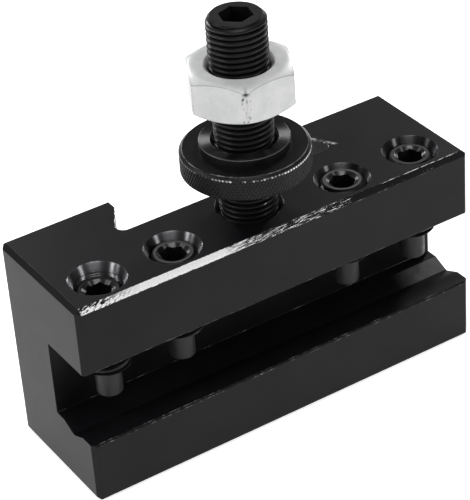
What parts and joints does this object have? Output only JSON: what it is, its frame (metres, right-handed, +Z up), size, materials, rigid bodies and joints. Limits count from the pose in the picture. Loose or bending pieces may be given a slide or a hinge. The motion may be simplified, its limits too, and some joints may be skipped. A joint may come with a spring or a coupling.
{
  "type": "quick change tool holder",
  "caption": "Dovetail quick change tool holder with a grooved tool slot, clamp screws, and a height stud with knurled thumb nut and hex lock nut.",
  "frame": {"origin": "middle of the block's base: mid-length, mid-depth, on the underside", "axes": "+X along the tool slot, -Y towards the open side of the slot, +Y towards the dovetail, +Z up along the height stud"},
  "size_m": [0.0762, 0.0265, 0.0731],
  "materials": {
    "black_oxide_block": "satin black oxide over ground steel, worn bright along the front top edge",
    "black_oxide_thread": "black oxide, cut thread",
    "black_oxide_knurl": "black oxide, knurled rim, turned faces",
    "bright_zinc": "bright zinc plate",
    "screw_steel": "black oxide, matte grey tips"
  },
  "bodies": {
    "holder": {"holder_block": "black_oxide_block", "height_stud": "black_oxide_thread"},
    "thumb_nut_body": {"thumb_nut": "black_oxide_knurl"},
    "lock_nut_body": {"lock_nut": "bright_zinc"},
    "clamp_screw_1_body": {"clamp_screw_1": "screw_steel"},
    "clamp_screw_2_body": {"clamp_screw_2": "screw_steel"},
    "clamp_screw_3_body": {"clamp_screw_3": "screw_steel"},
    "clamp_screw_4_body": {"clamp_screw_4": "screw_steel"}
  },
  "joints": [
    {"name": "thumb_nut_height", "type": "slide", "parent": "holder", "child": "thumb_nut_body", "axis": [0, 0, 1], "range_m": [-0.0071, 0.0035]},
    {"name": "lock_nut_height", "type": "slide", "parent": "thumb_nut_body", "child": "lock_nut_body", "axis": [0, 0, 1], "range_m": [-0.0069, 0.004]},
    {"name": "clamp_screw_1_feed", "type": "slide", "parent": "holder", "child": "clamp_screw_1_body", "axis": [0, 0, 1], "range_m": [-0.0043, 0.0094]},
    {"name": "clamp_screw_2_feed", "type": "slide", "parent": "holder", "child": "clamp_screw_2_body", "axis": [0, 0, 1], "range_m": [-0.0054, 0.0083]},
    {"name": "clamp_screw_3_feed", "type": "slide", "parent": "holder", "child": "clamp_screw_3_body", "axis": [0, 0, 1], "range_m": [-0.006, 0.0077]},
    {"name": "clamp_screw_4_feed", "type": "slide", "parent": "holder", "child": "clamp_screw_4_body", "axis": [0, 0, 1], "range_m": [-0.0055, 0.0082]}
  ]
}
